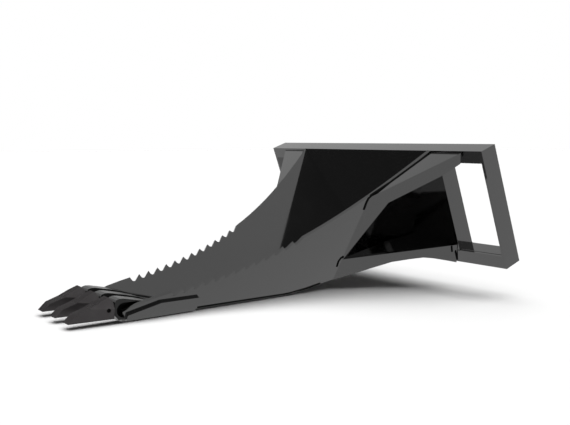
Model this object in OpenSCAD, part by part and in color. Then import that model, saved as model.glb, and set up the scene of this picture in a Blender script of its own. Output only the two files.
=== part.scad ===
// Stump bucket for a skid steer loader: a narrow, flared trough with serrated side plates,
// three pinned teeth on welded adapters, and a leaning quick attach frame at the rear.
// Millimetres, +Z up, the teeth point to -Y. The origin is the middle of the back plate's rear face,
// where the loader's coupler rests. Lengths below are measured from the ground and from the front
// top edge of the frame.

/* [Attach frame] */
// Overall width of the attach frame
frame_w = 1143; // [1080:1:1200]
// Height of the attach frame, measured along its lean
frame_h = 415; // [400:1:450]
// Depth of the rails and end posts
frame_depth = 68; // [55:1:90]
// Lean of the frame, its top towards the teeth
frame_lean = 19.9; // [15:0.1:24]
// Height of the frame's front top edge above the ground
frame_top = 496; // [480:1:520]
// Thickness of the rails
rail_t = 10; // [8:1:14]
// Height of the top rail's front leg
top_leg = 42; // [32:1:60]
// Height of the bottom rail's front leg
bottom_leg = 45; // [35:1:60]
// Fall of the hook lip along the top rail's rear edge
hook_fall = 20; // [14:1:28]
// Thickness of the end posts
post_t = 10; // [8:1:14]
// Outer face of each upright, from the centre line
upright_x = 380; // [360:1:420]
// Thickness of the uprights
upright_t = 10; // [8:1:14]
// Thickness of the back plate
back_t = 10; // [8:1:14]
// Radius of the lock pin holes in the bottom rail
pin_hole_r = 16; // [12:0.5:20]
// Distance between the lock pin holes
pin_hole_gap = 640; // [560:1:670]

/* [Side plates] */
// Thickness of the serrated side plates
side_t = 10; // [8:1:14]
// Middle of a side plate from the centre line, at the frame's front top edge
side_top_x = 345; // [320:1:370]
// Outward lean of the side plates
side_flare = 30.7; // [26:0.1:33]
// Angle by which the side plates spread towards the teeth
side_toe = 3.15; // [1:0.05:5]
// Front end of the side plates, ahead of the frame's top edge
nose_y = 1022; // [990:1:1070]
// Height of the side plates' front end above the ground
nose_z = 38; // [30:1:46]

/* [Serrated edge] */
// Distance from the frame to the first point of the serrations
first_point_y = 880; // [850:1:930]
// Height of the first point above the ground
first_point_z = 80; // [66:1:90]
// Spacing of the serrations along the bucket
serration_pitch = 34.8; // [30:0.1:40]
// Number of gullets in each side plate
gullets = 13; // [6:1:16]
// Depth of the first gullet
gullet_depth = 17; // [12:0.5:19]
// Depth of the last gullet
last_gullet_depth = 13; // [12:0.5:19]
// Radius at the bottom of a gullet
gullet_r = 7.5; // [5:0.5:9]
// Share of a gullet's length ahead of its lowest point
gullet_lead = 0.28; // [0.25:0.01:0.5]
// Width left on each point between two gullets
point_flat = 1; // [0.5:0.5:6]
// Slope of the top edge at the first point
edge_front_slope = 10.5; // [6:0.1:14]
// Slope of the top edge where it meets the frame
edge_rear_slope = 38.5; // [34:0.1:44]

/* [Floor and lip] */
// Thickness of the floor plate
floor_t = 8; // [6:1:12]
// Distance from the frame to the bend of the floor
knee_y = 412; // [340:1:460]
// Radius of the slot in an outer adapter around the side plate's nose
slot_r = 22; // [16:1:23]
// Depth of that slot, from the side plate's inner face
slot_depth = 14; // [8:1:18]
// Length of the cutting lip
lip_l = 60; // [40:1:90]
// Thickness of the cutting lip
lip_t = 22; // [16:1:26]
// Thickness of the cheek plates
cheek_t = 8; // [6:1:14]
// Rear end of the cheek plates, ahead of the frame's top edge
cheek_y = 780; // [720:1:840]
// Height of the cheek plates' top edge above the ground
cheek_z = 55; // [46:1:66]

/* [Wings] */
// Thickness of the windowed wing plates and their flanges
wing_t = 10; // [8:1:12]
// Middle of a wing plate from the centre line, at the frame's front top edge
wing_top_x = 480; // [460:1:500]
// Angle by which the wings spread towards the frame
wing_splay = 32.6; // [29:0.1:36]
// Outward lean of the wing plates
wing_flare = 29.9; // [27:0.1:32]
// Fall of the wing's top flange towards the teeth
flange_pitch = 36.4; // [34:0.1:40]
// Depth of the wing's top flange below the frame's front top edge
flange_drop = 7; // [3:0.5:12]
// Cross fall of the pocket floor inside the wing
pocket_cross_fall = 15.1; // [12:0.1:18]
// Rise of the pocket floor towards the frame
pocket_rise = 15.9; // [13:0.1:18]
// Height of the pocket floor's plane at the origin
pocket_z = 216; // [205:1:225]

/* [Teeth] */
// Distance between neighbouring teeth
tooth_pitch = 104; // [96:1:108]
// Width of a tooth at its rear end
tooth_w = 54; // [48:1:60]
// Width of a tooth at its tip
tip_w = 42; // [34:1:46]
// Width of a tooth's top ridge
ridge_w = 28; // [22:1:40]
// Reach of a tooth ahead of the lip
tooth_reach = 171; // [155:1:190]
// Width of an adapter's nose inside the tooth
nose_w = 34; // [28:1:38]
// Width of an adapter behind the tooth
adapter_w = 54; // [46:1:58]
// Clearance around the nose inside the tooth
nose_gap = 0.4; // [0.2:0.1:1]
// Radius of the tooth pins
pin_r = 6; // [4:0.25:7]
// Clearance around a tooth pin
pin_gap = 0.3; // [0.1:0.1:0.8]
// How far a tooth pin stays below the tooth's sides
pin_sunk = 5; // [2:0.5:8]
// Rear end of the adapter straps, behind the lip's front edge
strap_l = 220; // [150:1:260]

/* [Hidden] */
$fn = 48;
big = 3000;
steel = "#4a4a4c";
tooth_steel = "#545152";

// Slopes of the side and wing planes, x = x0 + by * y + cz * (z - frame_top)
side_by = -tan(side_toe);
side_cz = tan(side_flare);
wing_by = tan(wing_splay);
wing_cz = tan(wing_flare);

// Frame levels along the lean, downwards from the front top edge
shelf_z = -(frame_h - bottom_leg);
inner_w = frame_w / 2 - post_t;
foot_y = frame_h * sin(frame_lean);
foot_z = frame_top - frame_h * cos(frame_lean);
seat_z = (shelf_z - top_leg) / 2;

// Behind its bend the floor's underside rises to the frame's front bottom edge
floor_rise = atan(foot_z / (knee_y + foot_y));
bend_y = -knee_y - floor_t * tan(floor_rise / 2);
tip_y = nose_y + tooth_reach;
slot_y = -nose_y - 5;
slot_z = nose_z + 2;

// Smooth top edge as a Bezier curve, and the height of the edge at any y
edge_front = [-first_point_y, first_point_z];
edge_rear = [0, frame_top];
edge_span = norm(edge_rear - edge_front);
edge_pull_front = 0.36 * edge_span;
edge_pull_rear = 0.42 * edge_span;
edge_steps = 24;
gullet_steps = 6;
function edge_at(t) =
    pow(1 - t, 3) * edge_front
    + 3 * pow(1 - t, 2) * t * (edge_front + edge_pull_front * [cos(edge_front_slope), sin(edge_front_slope)])
    + 3 * (1 - t) * t * t * (edge_rear - edge_pull_rear * [cos(edge_rear_slope), sin(edge_rear_slope)])
    + pow(t, 3) * edge_rear;
edge = [for (i = [0 : edge_steps]) edge_at(i / edge_steps)];
function edge_z(y) = lookup(y, edge);
function point_y(i) = -first_point_y + i * serration_pitch;

// A point at height z and distance y, in the flat coordinates of a leaning plane
function yaw(by) = -atan(by);
function lean(by, cz) = atan(cz * cos(yaw(by)));
function on_plate(by, cz, y, z) =
    let (dz = z - frame_top, x = by * y + cz * dz)
    [y * cos(yaw(by)) - x * sin(yaw(by)), dz / cos(lean(by, cz))];

// Puts a flat outline, drawn in those coordinates, on the leaning plane
module on_plane(x0, by, cz, from, thick) {
    translate([x0, 0, frame_top])
        rotate([0, 0, yaw(by)])
            rotate([0, lean(by, cz), 0])
                rotate([90, 0, 90])
                    translate([0, 0, from])
                        linear_extrude(thick)
                            children();
}

module in_frame() {
    translate([0, 0, frame_top])
        rotate([frame_lean, 0, 0])
            children();
}

// Moves a piece so that the middle of the back plate's rear face is the origin
module at_seat() {
    rotate([frame_lean, 0, 0])
        translate([0, -back_t, -seat_z])
            rotate([-frame_lean, 0, 0])
                translate([0, 0, -frame_top])
                    children();
}

// Everything behind the front faces of the frame
module behind_frame() {
    in_frame()
        translate([-big, 0, -big])
            cube([2 * big, big, 2 * big]);
}

// Everything above the level part of the floor plate
module above_floor() {
    translate([-big, -big, floor_t])
        cube([2 * big, 2 * big, big]);
}

// Everything below the rising part of the floor plate
module below_rise() {
    translate([0, -knee_y, 0])
        rotate([floor_rise, 0, 0])
            translate([-big, -big, -big])
                cube([2 * big, 2 * big, big]);
}

// Everything from an offset off the side plate's middle plane outwards, or inwards
module side_outwards(offset_n) {
    on_plane(side_top_x, side_by, side_cz, offset_n, big)
        square(2 * big, center = true);
}

module side_inwards(offset_n) {
    on_plane(side_top_x, side_by, side_cz, offset_n - big, big)
        square(2 * big, center = true);
}

module wing_outwards(offset_n) {
    on_plane(wing_top_x, wing_by, wing_cz, offset_n, big)
        square(2 * big, center = true);
}

// A plane that falls from the frame's front top edge towards the teeth
module on_flange(from, thick) {
    translate([0, 0, frame_top])
        rotate([flange_pitch, 0, 0])
            translate([-frame_w, -frame_w, from])
                cube([2 * frame_w, 2 * frame_w, thick]);
}

// A profile in y and z, pulled across the width between two x values
module across(x_from, x_to, points) {
    translate([x_from, 0, 0])
        rotate([90, 0, 90])
            linear_extrude(x_to - x_from)
                polygon(points);
}

module both_ways(right) {
    mirror([right ? 0 : 1, 0, 0])
        children();
}

module top_rail() color(steel)
    in_frame()
        across(-inner_w, inner_w, [[0, 0], [0, -top_leg], [rail_t, -top_leg], [rail_t, -rail_t],
            [frame_depth - rail_t, -rail_t], [frame_depth - rail_t, -rail_t - hook_fall],
            [frame_depth, -rail_t - hook_fall], [frame_depth, 0]]);

module bottom_rail() color(steel)
    in_frame()
        translate([-inner_w, 0, -frame_h])
            cube([2 * inner_w, rail_t, bottom_leg]);

// Level shelf behind the bottom rail, with the lock pin holes
module bottom_shelf() color(steel)
    in_frame()
        difference() {
            translate([-inner_w, rail_t, shelf_z - rail_t])
                cube([2 * inner_w, frame_depth - rail_t, rail_t]);
            for (side = [-1, 1])
                translate([side * pin_hole_gap / 2, (rail_t + frame_depth) / 2, shelf_z - 2 * rail_t])
                    cylinder(h = 3 * rail_t, r = pin_hole_r);
        }

module end_post(right) color(steel)
    both_ways(right)
        in_frame()
            translate([inner_w, 0, -frame_h])
                cube([post_t, frame_depth, frame_h]);

module upright(right) color(steel)
    both_ways(right)
        in_frame()
            across(upright_x - upright_t, upright_x, [[0, shelf_z], [frame_depth, shelf_z],
                [frame_depth, -rail_t - hook_fall], [frame_depth - rail_t, -rail_t - hook_fall],
                [frame_depth - rail_t, -rail_t], [rail_t, -rail_t], [rail_t, -top_leg], [0, -top_leg]]);

module back_plate() color(steel)
    in_frame()
        translate([upright_t - upright_x, 0, shelf_z])
            cube([2 * (upright_x - upright_t), back_t, -shelf_z - top_leg]);

// Convex top edge of the nose, measured from its front end
nose_edge = [[-4, -frame_top / 4], [-7, -9], [-11, 0], [14, 11], [61, 25], [106, 35]];

// Flared side plate: a gullet is cut between each pair of neighbouring points
module side_plate(right) color(steel)
    both_ways(right)
        difference() {
            intersection() {
                on_plane(side_top_x, side_by, side_cz, -side_t / 2, side_t)
                    difference() {
                        polygon([for (p = concat([for (q = nose_edge) q + [-nose_y, nose_z]], edge,
                            [[frame_h, frame_top], [frame_h, -frame_top / 4]]))
                            on_plate(side_by, side_cz, p[0], p[1])]);
                        for (i = [0 : gullets - 1])
                            gullet(on_side(point_y(i)), on_side(point_y(i + 1)), depth_at(i));
                    }
                above_floor();
            }
            below_rise();
            behind_frame();
        }

function on_side(y) = on_plate(side_by, side_cz, y, edge_z(y));

function depth_at(i) = gullet_depth + (last_gullet_depth - gullet_depth) * i / (gullets - 1);

// Angle between the line to a point ahead and the spot where its tangent touches the round bottom
function wrap_angle(ahead, up) = acos(gullet_r / norm([ahead, up])) - atan(up / ahead);

// Saw tooth gullet: a steep front wall, a round bottom and a long slope up to the next point
module gullet(a, b, depth) {
    along = (b - a) / norm(b - a);
    from = a + along * point_flat / 2;
    to = b - along * point_flat / 2;
    lead = gullet_lead * norm(to - from);
    up = depth - gullet_r;
    centre = from + lead * along + up * [along[1], -along[0]];
    start = atan(along[1] / along[0]) + 180 + wrap_angle(lead, up);
    end = atan(along[1] / along[0]) + 360 - wrap_angle(norm(to - from) - lead, up);
    bottom = [for (k = [0 : gullet_steps])
        let (angle = start + (end - start) * k / gullet_steps) centre + gullet_r * [cos(angle), sin(angle)]];
    polygon(concat([from], bottom, [to]));
}

// One bent plate: level under the side plates, then rising between them to the frame
module floor_plate() color(steel)
    difference() {
        across(-side_top_x, side_top_x, [[lip_l - nose_y, 0], [lip_l - nose_y, floor_t], [bend_y, floor_t],
            [frame_h, floor_t + (frame_h - bend_y) * tan(floor_rise)],
            [frame_h, (frame_h + knee_y) * tan(floor_rise)], [-knee_y, 0]]);
        for (right = [false, true])
            both_ways(right) {
                side_outwards(0);
                intersection() {
                    side_outwards(-side_t / 2);
                    above_floor();
                }
            }
        behind_frame();
    }

module cutting_lip() color(steel)
    difference() {
        across(-side_top_x, side_top_x, [[lip_l - nose_y, 0], [lip_l - nose_y, lip_t],
            [lip_t / 2 - nose_y, lip_t], [-nose_y, lip_t / 2], [-nose_y, 0]]);
        for (right = [false, true])
            both_ways(right)
                side_outwards(-side_t / 2);
    }

// Front end of a cheek plate, measured from the nose
cheek_edge = [[5, -frame_top / 4], [5, -9], [109, 18]];

module cheek_plate(right) color(steel)
    both_ways(right)
        difference() {
            on_plane(side_top_x, side_by, side_cz, side_t / 2, cheek_t)
                polygon([for (p = concat([for (q = cheek_edge) q + [-nose_y, nose_z]],
                    [[-cheek_y, cheek_z], [-cheek_y, -frame_top / 4]])) on_plate(side_by, side_cz, p[0], p[1])]);
            translate([-big, -big, -big])
                cube([2 * big, 2 * big, big + floor_t / 2]);
        }

// Windowed wing: one outline with an upper and a lower arm that end on the frame
wing_outline = [[-330, -15], [-205, 39], [-149, 63], [-97, 86], [-51, 106], [-2, 116], [38, 122],
    [68, 119], [108, 111], [144, 103], [330, 64], [330, 700], [-330, 700]];
wing_window = [[-200, 118], [-137, 324], [-22, 413], [19, 457], [330, 457], [330, 204], [105, 167]];

module wing_plate(right) color(steel)
    both_ways(right)
        difference() {
            on_plane(wing_top_x, wing_by, wing_cz, -wing_t / 2, wing_t)
                difference() {
                    polygon([for (p = wing_outline) on_plate(wing_by, wing_cz, p[0], p[1])]);
                    polygon([for (p = wing_window) on_plate(wing_by, wing_cz, p[0], p[1])]);
                }
            side_inwards(side_t / 2);
            on_flange(-wing_t - flange_drop, big);
            behind_frame();
        }

module wing_flange(right) color(steel)
    both_ways(right)
        difference() {
            on_flange(-wing_t - flange_drop, wing_t);
            side_inwards(side_t / 2);
            wing_outwards(wing_t / 2);
            behind_frame();
        }

module pocket_floor(right) color(steel)
    both_ways(right)
        difference() {
            translate([0, 0, pocket_z])
                rotate([pocket_rise, pocket_cross_fall, 0])
                    translate([-frame_w, -frame_w, -wing_t])
                        cube([2 * frame_w, 2 * frame_w, wing_t]);
            side_inwards(side_t / 2);
            wing_outwards(-wing_t / 2);
            behind_frame();
        }

// Tooth and adapter profiles, measured from the lip's front edge and the ground
tooth_profile = [[-tooth_reach, 18], [-35, 18], [-33, 44], [-33, 60], [-37, 71], [-48, 81], [-76, 69],
    [-104, 54], [-tooth_reach + 24, 40]];
tooth_section = [[-tooth_w / 2, 0], [tooth_w / 2, 0], [tooth_w / 2, 48], [ridge_w / 2, 82],
    [-ridge_w / 2, 82], [-tooth_w / 2, 48]];
nose_profile = [[-tooth_reach + 43, 34], [10, 27], [10, 64], [-60, 64]];
strap_profile = [[-33, 26], [-22, 13], [0, 13], [0, lip_t], [lip_l, lip_t], [lip_l, floor_t],
    [strap_l, floor_t], [strap_l, floor_t + 6], [112, 42], [90, 51], [50, 62], [10, 71], [-4, 74],
    [-16, 75], [-28, 72], [-32.4, 66], [-32.4, 44]];
pin_place = [-nose_y - 51, 44];

function from_lip(points) = [for (p = points) [p[0] - nose_y, p[1]]];

module tooth_pin(x, r, w) {
    translate([x - w / 2, pin_place[0], pin_place[1]])
        rotate([0, 90, 0])
            cylinder(h = w, r = r);
}

module adapter(x) color(steel)
    difference() {
        union() {
            across(x - nose_w / 2, x + nose_w / 2, from_lip(nose_profile));
            across(x - adapter_w / 2, x + adapter_w / 2, from_lip(strap_profile));
        }
        tooth_pin(x, pin_r + pin_gap, tooth_w);
        for (right = [false, true])
            both_ways(right)
                nose_slot();
    }

// Round ended slot for the side plate's nose, and behind it the seat on the plate's inner face
module nose_slot() {
    intersection() {
        side_outwards(-side_t / 2 - slot_depth);
        union() {
            translate([0, slot_y, slot_z])
                rotate([0, 90, 0])
                    cylinder(h = big, r = slot_r);
            translate([0, slot_y, slot_z - slot_r])
                cube([big, 2 * slot_r, 2 * slot_r]);
        }
    }
    intersection() {
        side_outwards(-side_t / 2);
        translate([0, slot_y + 2 * slot_r, 0])
            cube(big);
    }
}

module tooth(x) color(tooth_steel)
    difference() {
        intersection() {
            across(x - tooth_w / 2, x + tooth_w / 2, from_lip(tooth_profile));
            translate([x, 0, 0])
                linear_extrude(big)
                    polygon([[-tip_w / 2, -tip_y], [tip_w / 2, -tip_y], [tooth_w / 2, pin_place[0]],
                        [tooth_w / 2, 0], [-tooth_w / 2, 0], [-tooth_w / 2, pin_place[0]]]);
            translate([x, 0, 0])
                rotate([90, 0, 0])
                    linear_extrude(big)
                        polygon(tooth_section);
        }
        across(x - nose_w / 2 - nose_gap, x + nose_w / 2 + nose_gap,
            from_lip([for (p = nose_profile) [p[0] < 0 ? p[0] - 2 * nose_gap : p[0],
                p[1] + (p[1] > 50 ? nose_gap : -nose_gap)]]));
        tooth_pin(x, pin_r + pin_gap, 2 * tooth_w);
    }

module tooth_pins() color(tooth_steel)
    for (i = [-1 : 1])
        tooth_pin(i * tooth_pitch, pin_r, tooth_w - 2 * pin_sunk);

at_seat() top_rail();
at_seat() bottom_rail();
at_seat() bottom_shelf();
at_seat() end_post(false);  // end_post_left
at_seat() end_post(true);  // end_post_right
at_seat() upright(false);  // upright_left
at_seat() upright(true);  // upright_right
at_seat() back_plate();
at_seat() side_plate(false);  // side_plate_left
at_seat() side_plate(true);  // side_plate_right
at_seat() floor_plate();
at_seat() cutting_lip();
at_seat() cheek_plate(false);  // cheek_plate_left
at_seat() cheek_plate(true);  // cheek_plate_right
at_seat() wing_plate(false);  // wing_plate_left
at_seat() wing_plate(true);  // wing_plate_right
at_seat() wing_flange(false);  // wing_flange_left
at_seat() wing_flange(true);  // wing_flange_right
at_seat() pocket_floor(false);  // pocket_floor_left
at_seat() pocket_floor(true);  // pocket_floor_right
at_seat() adapter(-tooth_pitch);  // adapter_left
at_seat() adapter(0);  // adapter_centre
at_seat() adapter(tooth_pitch);  // adapter_right
at_seat() tooth(-tooth_pitch);  // tooth_left
at_seat() tooth(0);  // tooth_centre
at_seat() tooth(tooth_pitch);  // tooth_right
at_seat() tooth_pins();
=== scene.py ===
import bmesh
import bpy
import math
from mathutils import Euler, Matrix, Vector
from mathutils.bvhtree import BVHTree


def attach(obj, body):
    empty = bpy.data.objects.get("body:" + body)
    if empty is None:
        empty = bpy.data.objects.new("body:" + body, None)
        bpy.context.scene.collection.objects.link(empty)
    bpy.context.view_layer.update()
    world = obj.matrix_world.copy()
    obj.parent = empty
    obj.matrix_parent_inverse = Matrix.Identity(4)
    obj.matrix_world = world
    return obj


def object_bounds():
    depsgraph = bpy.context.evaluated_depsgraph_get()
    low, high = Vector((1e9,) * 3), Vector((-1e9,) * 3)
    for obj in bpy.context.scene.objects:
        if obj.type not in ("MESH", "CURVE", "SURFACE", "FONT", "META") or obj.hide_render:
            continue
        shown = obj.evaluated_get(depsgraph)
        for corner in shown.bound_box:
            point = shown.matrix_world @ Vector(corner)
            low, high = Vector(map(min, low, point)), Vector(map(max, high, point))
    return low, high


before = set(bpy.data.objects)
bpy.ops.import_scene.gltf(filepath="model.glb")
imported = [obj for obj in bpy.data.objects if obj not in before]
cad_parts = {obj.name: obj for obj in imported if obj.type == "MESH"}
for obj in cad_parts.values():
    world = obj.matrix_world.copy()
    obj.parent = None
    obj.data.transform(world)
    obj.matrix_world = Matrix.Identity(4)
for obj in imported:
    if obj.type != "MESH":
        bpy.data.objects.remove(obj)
cad_low, cad_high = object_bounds()
scene = bpy.context.scene

# The photograph's frame and the camera that took it, also used to follow the seams
PHOTO_WIDTH = 570.0
PHOTO_HEIGHT = 425.0
LENS = 50.0
SENSOR = 36.0
CAMERA_PLACE = Vector((2.238, -2.0595, 0.2303))
CAMERA_DIP = 5.32
CAMERA_HEADING = 53.98
CAMERA_TURN = Euler((math.radians(90.0 - CAMERA_DIP), 0.0, math.radians(CAMERA_HEADING)))
CAMERA_REACH = 200.0

# Places of the Mix node's sockets when it blends colours
MIX_FACTOR = 0
MIX_FIRST = 6
MIX_SECOND = 7
MIX_RESULT = 2


# Shader maths: a socket that takes ordinary operators
class Value:
    def __init__(self, sheet, socket):
        self.sheet = sheet
        self.socket = socket

    def maths(self, operation, other):
        return self.sheet.add("ShaderNodeMath", {"operation": operation}, {0: self, 1: other})

    def __add__(self, other):
        return self.maths("ADD", other)

    def __radd__(self, other):
        return self.maths("ADD", other)

    def __mul__(self, other):
        return self.maths("MULTIPLY", other)

    def __rmul__(self, other):
        return self.maths("MULTIPLY", other)

    def __sub__(self, other):
        return self.maths("SUBTRACT", other)

    def __rsub__(self, other):
        return (self * -1.0) + other

    def ramp(self, low, high):
        settings = {"clamp": True, "interpolation_type": "SMOOTHSTEP"}
        values = {"Value": self, "From Min": low, "From Max": high}
        return self.sheet.add("ShaderNodeMapRange", settings, values, "Result")


# The node sheet of a material or the world, with one method for every node
class Sheet:
    def __init__(self, owner, shader="Principled BSDF"):
        self.owner = owner
        self.owner.use_nodes = True
        self.tree = self.owner.node_tree
        self.shader = self.tree.nodes[shader]

    def feed(self, socket, value):
        if isinstance(value, Value):
            self.tree.links.new(value.socket, socket)
        else:
            socket.default_value = value

    def add(self, kind, settings, values, output=0):
        node = self.tree.nodes.new(kind)
        for key, setting in settings.items():
            setattr(node, key, setting)
        for key, value in values.items():
            self.feed(node.inputs[key], value)
        return Value(self, node.outputs[output])

    def coordinates(self, kind="Object"):
        return self.add("ShaderNodeTexCoord", {}, {}, kind)

    def axes(self, vector):
        split = self.add("ShaderNodeSeparateXYZ", {}, {"Vector": vector})
        return [Value(self, output) for output in split.socket.node.outputs]

    def noise(self, place, scale, detail=3.0, roughness=0.55):
        values = {"Vector": place, "Scale": scale, "Detail": detail, "Roughness": roughness}
        return self.add("ShaderNodeTexNoise", {}, values)

    def cloud(self, place, scale, low=0.35, high=0.7):
        return self.noise(place, scale).ramp(low, high)

    def blend(self, factor, first, second):
        values = {MIX_FACTOR: factor, MIX_FIRST: first, MIX_SECOND: second}
        return self.add("ShaderNodeMix", {"data_type": "RGBA"}, values, MIX_RESULT)

    def bump(self, height, distance, strength):
        values = {"Height": height, "Distance": distance, "Strength": strength}
        return self.add("ShaderNodeBump", {}, values)

    def finish(self, **sockets):
        for key, value in sockets.items():
            self.feed(self.shader.inputs[key.replace("_", " ")], value)
        return self.owner


def material_sheet(name):
    return Sheet(bpy.data.materials.new(name))


# A warm grey has more red, and a little more blue, than green
BLUE_SHARE = 0.3


def grey(level, warmth=0.0):
    red = level * (1.0 + warmth)
    blue = level * (1.0 + warmth * BLUE_SHARE)
    return (red, level, blue, 1.0)


# Black gloss paint over rolled plate, a little uneven as sprayed enamel is
def gloss_paint():
    sheet = material_sheet("black gloss paint")
    place = sheet.coordinates()
    cloud = sheet.cloud(place, scale=5.0)
    peel = sheet.noise(place, scale=420.0, detail=1.0)
    wave = sheet.noise(place, scale=9.0, detail=1.0)
    shade = sheet.blend(cloud, grey(0.0015), grey(0.003))
    skin = sheet.bump(peel * 0.05 + wave * 0.2, distance=0.0003, strength=0.15)
    return sheet.finish(Base_Color=shade, Roughness=0.045 + cloud * 0.03, IOR=1.735, Normal=skin)


# Cast tooth steel under a satin coat, a little warmer in tone than the paint
def tooth_steel():
    sheet = material_sheet("cast tooth steel")
    place = sheet.coordinates()
    grain = sheet.noise(place, scale=260.0, detail=2.0)
    cloud = sheet.cloud(place, scale=22.0)
    shade = sheet.blend(cloud, grey(0.043, warmth=0.07), grey(0.050, warmth=0.06))
    skin = sheet.bump(grain, distance=0.0005, strength=0.3)
    return sheet.finish(Base_Color=shade, Metallic=0.6, IOR=1.05, Specular_Tint=grey(0.3),
                        Roughness=0.3 + cloud * 0.08, Normal=skin)


# Black paint over the adapters' rough castings
def cast_paint():
    sheet = material_sheet("black paint on castings")
    place = sheet.coordinates()
    grain = sheet.noise(place, scale=180.0, detail=2.0)
    cloud = sheet.cloud(place, scale=14.0)
    shade = sheet.blend(cloud, grey(0.006), grey(0.009))
    skin = sheet.bump(grain, distance=0.0004, strength=0.25)
    return sheet.finish(Base_Color=shade, Roughness=0.3 + cloud * 0.08, IOR=1.31, Normal=skin)


# Dull black paint on the floor plate, less glossy than the rest: painted shade, so the floor plate
# reads dark where it lies in shadow inside the trough and along its edge
def floor_plate_shade_paint():
    sheet = material_sheet("dull black paint with painted shade")
    place = sheet.coordinates()
    cloud = sheet.cloud(place, scale=12.0)
    streak = sheet.noise(place, scale=70.0, detail=4.0)
    shade = sheet.blend(cloud, grey(0.002), grey(0.004))
    skin = sheet.bump(streak, distance=0.0003, strength=0.15)
    return sheet.finish(Base_Color=shade, Roughness=0.24 + cloud * 0.1, IOR=1.28, Normal=skin)


# Oil-blackened pins
def blackened_steel():
    sheet = material_sheet("blackened pin steel")
    place = sheet.coordinates()
    cloud = sheet.cloud(place, scale=90.0, low=0.3)
    shade = sheet.blend(cloud, grey(0.0012), grey(0.003))
    return sheet.finish(Base_Color=shade, Roughness=0.5 + cloud * 0.15, IOR=1.15)


# Painted weld metal with its ripples
def painted_weld():
    sheet = material_sheet("painted weld metal")
    place = sheet.coordinates()
    ripple = sheet.noise(place, scale=240.0, detail=1.0)
    cloud = sheet.cloud(place, scale=60.0)
    shade = sheet.blend(cloud, grey(0.0015), grey(0.004))
    skin = sheet.bump(ripple, distance=0.0008, strength=0.35)
    return sheet.finish(Base_Color=shade, Roughness=0.2 + cloud * 0.12, IOR=1.6, Normal=skin)


# Matt black for thin lines of painted shade, laid where seams and gaps fall dark in shadow
def shade_line_material():
    sheet = material_sheet("black painted shade line")
    place = sheet.coordinates()
    grain = sheet.noise(place, scale=300.0, detail=1.0)
    cloud = sheet.cloud(place, scale=120.0, low=0.3)
    shade = sheet.blend(cloud, grey(0.001), grey(0.003))
    skin = sheet.bump(grain, distance=0.0003, strength=0.4)
    return sheet.finish(Base_Color=shade, Roughness=0.5 + cloud * 0.2, IOR=1.12, Normal=skin)


# Each node takes the first finish whose key its name starts with
finishes = {
    "tooth_pins": blackened_steel(),
    "tooth": tooth_steel(),
    "adapter": cast_paint(),
    "floor_plate": floor_plate_shade_paint(),
    "": gloss_paint(),
}
for name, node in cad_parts.items():
    finish = next(finishes[start] for start in finishes if name.startswith(start))
    for slot in node.material_slots:
        slot.material = finish
    if not node.material_slots:
        node.data.materials.append(finish)


# A round bead along joined points, closed at its ends
def tube(name, points, joins, radius, finish):
    bpy.ops.object.select_all(action="DESELECT")
    path = bpy.data.meshes.new(name)
    path.from_pydata(points, joins, [])
    piece = bpy.data.objects.new(name, path)
    scene.collection.objects.link(piece)
    piece.select_set(True)
    bpy.context.view_layer.objects.active = piece
    bpy.ops.object.convert(target="CURVE")
    piece = bpy.context.object
    piece.data.bevel_depth = radius
    piece.data.bevel_resolution = 2
    piece.data.use_fill_caps = True
    bpy.ops.object.convert(target="MESH")
    piece = bpy.context.object
    bpy.ops.object.shade_smooth()
    piece.data.materials.clear()
    piece.data.materials.append(finish)
    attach(piece, "root")


def surface_of(name):
    shape = bmesh.new()
    shape.from_mesh(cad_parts[name].data)
    surface = BVHTree.FromBMesh(shape)
    shape.free()
    return surface


def inside_box(point, margin):
    return all(low + margin < value < high - margin
               for low, value, high in zip(cad_low, point, cad_high))


# Weld beads, drawn along the sharp edges of one plate that lie on another
WELD_REACH = 0.0008
MERGE_REACH = 0.00001
SHARP = math.radians(25.0)
CLEAR_OF_BOX = 1.5
BEAD = 0.002
SLIM_BEAD = 0.0015
FINE_BEAD = 0.001
weld_metal = painted_weld()


# A bead along the outside of the whole object, or under it, is ground flush, so it is left out
def weld(plate, carrier, radius):
    surface = surface_of(carrier)
    shape = bmesh.new()
    shape.from_mesh(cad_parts[plate].data)
    bmesh.ops.remove_doubles(shape, verts=shape.verts, dist=MERGE_REACH)
    points = []
    places = {}
    joins = []
    for edge in shape.edges:
        if len(edge.link_faces) != 2 or edge.calc_face_angle() < SHARP:
            continue
        ends = [vertex.co.copy() for vertex in edge.verts]
        tests = ends + [(ends[0] + ends[1]) / 2.0]
        if not all(inside_box(test, radius * CLEAR_OF_BOX) for test in tests):
            continue
        if all(surface.find_nearest(test)[3] < WELD_REACH for test in tests):
            for vertex, end in zip(edge.verts, ends):
                if vertex.index not in places:
                    places[vertex.index] = len(points)
                    points.append(end)
            joins.append([places[vertex.index] for vertex in edge.verts])
    shape.free()
    tube("weld_" + plate + "_to_" + carrier, points, joins, radius, weld_metal)


for side in ("_left", "_right"):
    weld("upright" + side, "bottom_rail", BEAD)
    weld("upright" + side, "bottom_shelf", BEAD)
    weld("side_plate" + side, "floor_plate", BEAD)
    weld("wing_plate" + side, "side_plate" + side, FINE_BEAD)
    weld("floor_plate", "side_plate" + side, BEAD)
    weld("cutting_lip", "side_plate" + side, BEAD)
for place in ("_left", "_centre", "_right"):
    weld("adapter" + place, "cutting_lip", BEAD)
    weld("adapter" + place, "floor_plate", BEAD)
weld("back_plate", "bottom_rail", BEAD)
weld("bottom_shelf", "bottom_rail", SLIM_BEAD)


# Painted shade: black lines laid along seams and gaps that fall dark in shadow, followed pixel by
# pixel of the photograph on the plate that carries it
PHOTO_FOCAL = LENS / SENSOR * PHOTO_WIDTH
SHADE_LINE_SINK = 0.3
FAR_SIDE_SHARE = 0.7
shade_line_finish = shade_line_material()
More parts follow.
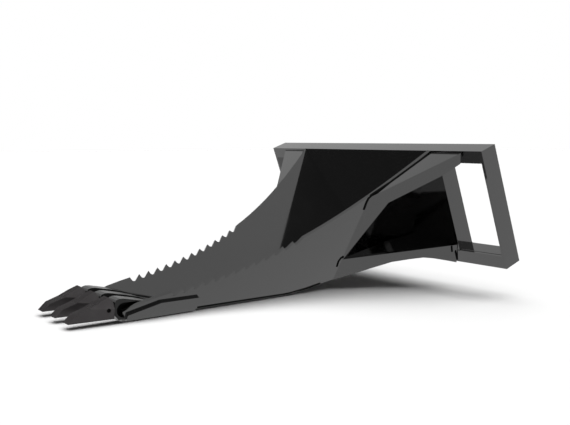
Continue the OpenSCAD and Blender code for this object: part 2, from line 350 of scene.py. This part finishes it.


# The far side's shade line is the near side's mirrored, and slimmer
def painted_shade_line(name, carriers, pixels, radius):
    surfaces = [surface_of(carrier) for carrier in carriers]
    points = []
    for across, down in pixels:
        rightwards = (across - PHOTO_WIDTH / 2.0) / PHOTO_FOCAL
        upwards = (PHOTO_HEIGHT / 2.0 - down) / PHOTO_FOCAL
        ray = Vector((rightwards, upwards, -1.0))
        ray.rotate(CAMERA_TURN)
        hits = [surface.ray_cast(CAMERA_PLACE, ray.normalized()) for surface in surfaces]
        nearest = min((hit for hit in hits if hit[0]), key=lambda hit: hit[3])
        point, normal = nearest[:2]
        points.append(point - normal * radius * SHADE_LINE_SINK)
    mirrored = [Vector((-point.x, point.y, point.z)) for point in points]
    joins = [(first, first + 1) for first in range(len(points) - 1)]
    tube(name + "_right", points, joins, radius, shade_line_finish)
    tube(name + "_left", mirrored, joins, radius * FAR_SIDE_SHARE, shade_line_finish)


# Painted shade along the dark gap at the wing's flange, with a hook at its front end
flange_pixels = [(428.0, 154.4), (410.0, 167.6), (390.0, 182.3), (372.0, 195.3),
                 (368.6, 198.2), (366.6, 202.0), (363.8, 209.5)]
painted_shade_line("flange_shade_line", ["side_plate_right", "wing_flange_right"], flange_pixels, radius=0.005)

# Painted shade for the dark hook at the front end of the wing's lower arm
arm_pixels = [(343.5, 256.8), (340.8, 258.2), (338.4, 261.5), (336.9, 266.4)]
painted_shade_line("arm_hook_shade_line", ["side_plate_right", "wing_plate_right"], arm_pixels, radius=0.0045)

# The dark line along the side plate's foot, where the floor plate's edge is in shade
foot_pixels = [(197.6, 307.3), (226.0, 302.9), (255.0, 298.5), (284.0, 294.1),
               (291.0, 292.6), (306.0, 288.2), (320.0, 283.2)]
painted_shade_line("floor_edge_shade_line", ["side_plate_right"], foot_pixels, radius=0.0036)

# Painted shade for two short dark lines in the gaps at the rear end of the wing's lower arm
arm_rear_shade_pixels = [(451.6, 246.0), (452.0, 251.6)]
painted_shade_line("arm_rear_shade_line", ["wing_plate_right"], arm_rear_shade_pixels, radius=0.0035)
post_pixels = [(454.2, 243.5), (455.6, 252.0), (457.2, 259.5)]
painted_shade_line("post_gap_shade_line", ["wing_plate_right", "bottom_rail"], post_pixels, radius=0.004)

# White floor
FLOOR_SIZE = 60.0
FLOOR_HEIGHT = -0.3062
FLOOR_ALBEDO = 0.5
bpy.ops.object.select_all(action="DESELECT")
bpy.ops.mesh.primitive_plane_add(size=FLOOR_SIZE, location=(0.0, 0.0, FLOOR_HEIGHT))
floor = bpy.context.object
floor.name = "studio_floor"
floor_sheet = material_sheet("white floor")
floor.data.materials.append(floor_sheet.finish(Base_Color=grey(FLOOR_ALBEDO), Roughness=0.9))
floor.visible_glossy = False

# White studio that the paint mirrors: dimmer at the far ceiling and low behind, brighter low in front
CEILING_DROP = 0.3
LOW_REAR_DROP = 0.08
LOW_FRONT_LIFT = 0.09
world = bpy.data.worlds.new("studio")
studio_sheet = Sheet(world, "Background")
sideways, rearwards, upwards = studio_sheet.axes(studio_sheet.coordinates("Generated"))
behind = rearwards.ramp(low=-0.2, high=0.4)
far_ceiling = (upwards * (0.5 - sideways)).ramp(low=0.25, high=0.6) * behind
below = (upwards * -1.0).ramp(low=0.2, high=0.6)
low_behind = rearwards.ramp(low=-0.3, high=0.6)
low_drop = low_behind * (LOW_REAR_DROP + LOW_FRONT_LIFT) - LOW_FRONT_LIFT
brightness = 1.0 - far_ceiling * CEILING_DROP - below * low_drop
studio_sheet.finish(Color=grey(1.0), Strength=brightness)
world.cycles_visibility.diffuse = False
scene.world = world

# One wide overhead softbox, as strong as brings the open floor to white
FLOOR_WHITE = 1.02
SOFTBOX_TILT = math.radians(-4.0)
SOFTBOX_LEAN = math.radians(10.0)
SOFTBOX_SPREAD = math.radians(80.0)
bpy.ops.object.light_add(type="SUN", rotation=(SOFTBOX_TILT, SOFTBOX_LEAN, 0.0))
softbox = bpy.context.object
softbox.data.angle = SOFTBOX_SPREAD
softbox.data.energy = FLOOR_WHITE * math.pi / FLOOR_ALBEDO
softbox.visible_glossy = False
scene.view_settings.view_transform = "Standard"

# Camera where the photograph was taken from
bpy.ops.object.camera_add(location=CAMERA_PLACE, rotation=CAMERA_TURN)
camera = bpy.context.object
camera.data.lens = LENS
camera.data.sensor_width = SENSOR
camera.data.clip_end = CAMERA_REACH
scene.camera = camera
